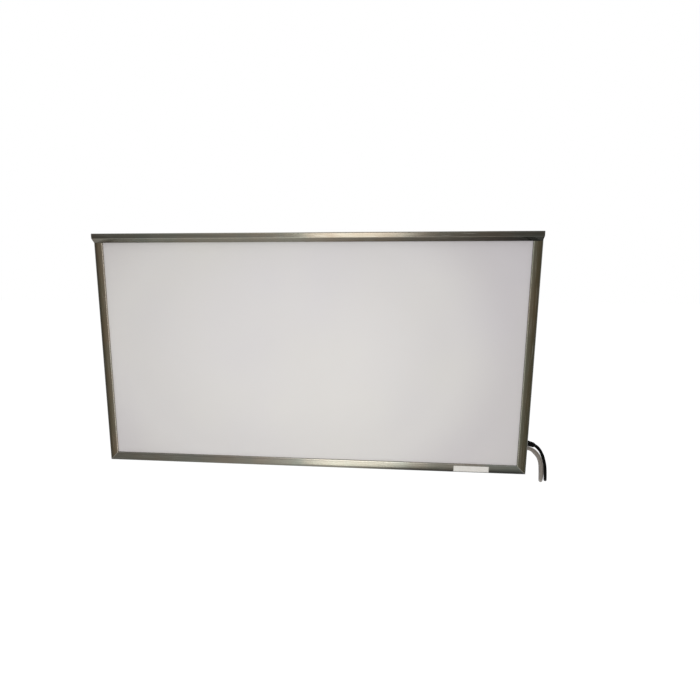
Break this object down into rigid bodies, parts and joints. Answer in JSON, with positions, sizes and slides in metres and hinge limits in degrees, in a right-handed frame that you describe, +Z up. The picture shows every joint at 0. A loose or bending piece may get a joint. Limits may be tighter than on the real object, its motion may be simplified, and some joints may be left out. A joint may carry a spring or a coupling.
{
  "type": "x-ray film viewer",
  "caption": "Wall-hung lightbox for viewing x-ray films: opal screen in a steel frame, film-grip rail with loose rollers along the top, louvred case, rocker switches and two leads.",
  "frame": {"origin": "on the wall, midway between the centres of the wide ends of the two keyholes in the hangers", "axes": "+X to the right and +Z up as seen by a person who faces the screen, +Y into the wall, so that the screen faces -Y"},
  "size_m": [0.9312, 0.1345, 0.5181],
  "materials": {
    "worn_steel": "bare steel, worn to a brown-grey patina with brighter rubbed edges",
    "case_enamel": "smooth off-white stove enamel",
    "opal_panel": "opal acrylic with a soft shine",
    "gasket_foam": "closed-cell foam strip",
    "zinc_steel": "zinc-plated steel",
    "roller_plastic": "turned plastic",
    "reflector_enamel": "bright white enamel",
    "lamp_glass": "glass tube coated white inside",
    "lamp_cap_metal": "drawn aluminium cap",
    "white_plastic": "moulded white plastic",
    "ballast_steel": "coated steel can",
    "black_plastic": "moulded black plastic with a fine grain",
    "rocker_red": "moulded red plastic",
    "buffer_rubber": "moulded rubber",
    "black_cord": "black flexible sheath",
    "grey_cord": "mid-grey flexible sheath",
    "pin_metal": "nickel-plated brass"
  },
  "bodies": {
    "root": {"case_tray": "case_enamel", "frame_left": "worn_steel", "frame_right": "worn_steel", "frame_bottom": "worn_steel", "corner_keys": "zinc_steel", "top_rail": "worn_steel", "rail_end_cap_left": "worn_steel", "rail_end_cap_right": "worn_steel", "roller_dividers": "zinc_steel", "diffuser": "opal_panel", "diffuser_gasket": "gasket_foam", "reflector": "reflector_enamel", "lamp_tubes": "lamp_glass", "lamp_caps": "lamp_cap_metal", "lampholders": "white_plastic", "lampholder_rails": "zinc_steel", "ballast_left": "ballast_steel", "ballast_right": "ballast_steel", "ballast_screws": "zinc_steel", "terminal_block": "white_plastic", "earth_stud": "zinc_steel", "switch_housing_left": "black_plastic", "switch_housing_right": "black_plastic", "hanger_left": "zinc_steel", "hanger_right": "zinc_steel", "hanger_rivets": "zinc_steel", "wall_buffers": "buffer_rubber", "case_screws": "zinc_steel", "rail_screws": "zinc_steel", "mains_gland": "black_plastic", "mains_strain_relief": "black_cord", "mains_lead": "black_cord", "mains_coil": "black_cord", "mains_end": "black_cord", "mains_tie": "black_plastic", "mains_plug": "black_plastic", "plug_pins": "pin_metal", "link_gland": "black_plastic", "link_strain_relief": "grey_cord", "link_lead": "grey_cord", "link_coil": "grey_cord", "link_end": "grey_cord", "link_tie": "black_plastic", "link_socket": "grey_cord", "tie_bases": "black_plastic"},
    "roller_1": {"grip_roller_1": "roller_plastic"},
    "roller_2": {"grip_roller_2": "roller_plastic"},
    "roller_3": {"grip_roller_3": "roller_plastic"},
    "roller_4": {"grip_roller_4": "roller_plastic"},
    "roller_5": {"grip_roller_5": "roller_plastic"},
    "roller_6": {"grip_roller_6": "roller_plastic"},
    "rocker_left": {"switch_rocker_left": "rocker_red"},
    "rocker_right": {"switch_rocker_right": "rocker_red"}
  },
  "joints": [
    {"name": "grip_roller_1_rise", "type": "slide", "parent": "root", "child": "roller_1", "axis": [0, -0.7817, 0.6237], "range_m": [0, 0.003]},
    {"name": "grip_roller_2_rise", "type": "slide", "parent": "root", "child": "roller_2", "axis": [0, -0.7817, 0.6237], "range_m": [0, 0.003]},
    {"name": "grip_roller_3_rise", "type": "slide", "parent": "root", "child": "roller_3", "axis": [0, -0.7817, 0.6237], "range_m": [0, 0.003]},
    {"name": "grip_roller_4_rise", "type": "slide", "parent": "root", "child": "roller_4", "axis": [0, -0.7817, 0.6237], "range_m": [0, 0.003]},
    {"name": "grip_roller_5_rise", "type": "slide", "parent": "root", "child": "roller_5", "axis": [0, -0.7817, 0.6237], "range_m": [0, 0.003]},
    {"name": "grip_roller_6_rise", "type": "slide", "parent": "root", "child": "roller_6", "axis": [0, -0.7817, 0.6237], "range_m": [0, 0.003]},
    {"name": "switch_left_rock", "type": "hinge", "parent": "root", "child": "rocker_left", "pos_m": [-0.204, -0.08, -0.4028], "axis": [0, 1, 0], "range_deg": [0, 20]},
    {"name": "switch_right_rock", "type": "hinge", "parent": "root", "child": "rocker_right", "pos_m": [0.204, -0.08, -0.4028], "axis": [0, 1, 0], "range_deg": [0, 20]}
  ]
}
